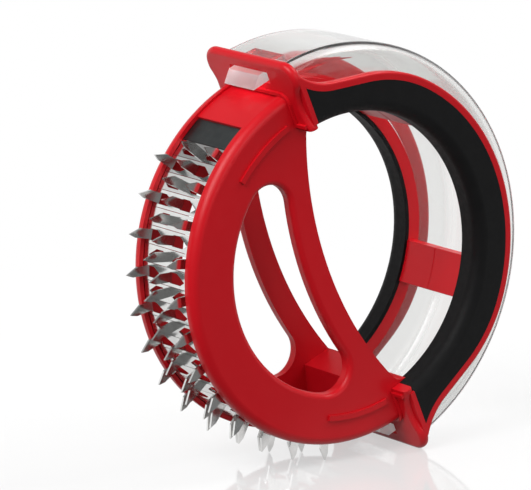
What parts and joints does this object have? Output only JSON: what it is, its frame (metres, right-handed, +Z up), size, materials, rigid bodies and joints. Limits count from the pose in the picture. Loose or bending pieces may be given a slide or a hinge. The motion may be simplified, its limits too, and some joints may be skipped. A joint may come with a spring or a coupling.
{
  "type": "meat tenderizer",
  "caption": "Ring-shaped hand tool with a rocking rim of steel dagger teeth, a soft-grip handle hoop and a clear snap-off blade cover.",
  "frame": {"origin": "on the floor below the middle of the tool as it stands on its lower flange and last teeth", "axes": "+Z up, +Y along the ring's axis, +X from the blades towards the handle"},
  "size_m": [0.1421, 0.0488, 0.1419],
  "materials": {
    "red_plastic": "satin-gloss moulded plastic, red",
    "soft_grip": "matt soft-touch overmoulding, black",
    "blade_steel": "bright rolled stainless steel",
    "dark_plate": "dark grey coated steel strip",
    "pin_steel": "plain ground steel",
    "clear_plastic": "clear polished plastic"
  },
  "bodies": {
    "tool": {"left_handle_half": "red_plastic", "right_handle_half": "red_plastic", "left_side_plate": "red_plastic", "right_side_plate": "red_plastic", "upper_end_block": "red_plastic", "lower_end_block": "red_plastic", "left_grip": "soft_grip", "right_grip": "soft_grip", "blade_strip_01": "blade_steel", "blade_strip_02": "blade_steel", "blade_strip_03": "blade_steel", "blade_strip_04": "blade_steel", "blade_strip_05": "blade_steel", "blade_strip_06": "blade_steel", "blade_strip_07": "blade_steel", "blade_strip_08": "blade_steel", "blade_strip_09": "blade_steel", "blade_strip_10": "blade_steel", "blade_strip_11": "blade_steel", "blade_strip_12": "blade_steel", "blade_strip_13": "blade_steel", "blade_strip_14": "blade_steel", "blade_strip_15": "blade_steel", "blade_strip_16": "blade_steel", "blade_strip_17": "blade_steel", "blade_strip_18": "blade_steel", "blade_strip_19": "blade_steel", "blade_strip_20": "blade_steel", "blade_strip_21": "blade_steel", "blade_strip_22": "blade_steel", "blade_strip_23": "blade_steel", "upper_end_plate": "dark_plate", "lower_end_plate": "dark_plate", "head_pins": "pin_steel", "seam_pins": "pin_steel"},
    "cover": {"clear_cover": "clear_plastic"}
  },
  "joints": [
    {"name": "cover_slide", "type": "slide", "parent": "tool", "child": "cover", "axis": [0.925, 0, 0.38], "range_m": [0, 0.065]}
  ]
}
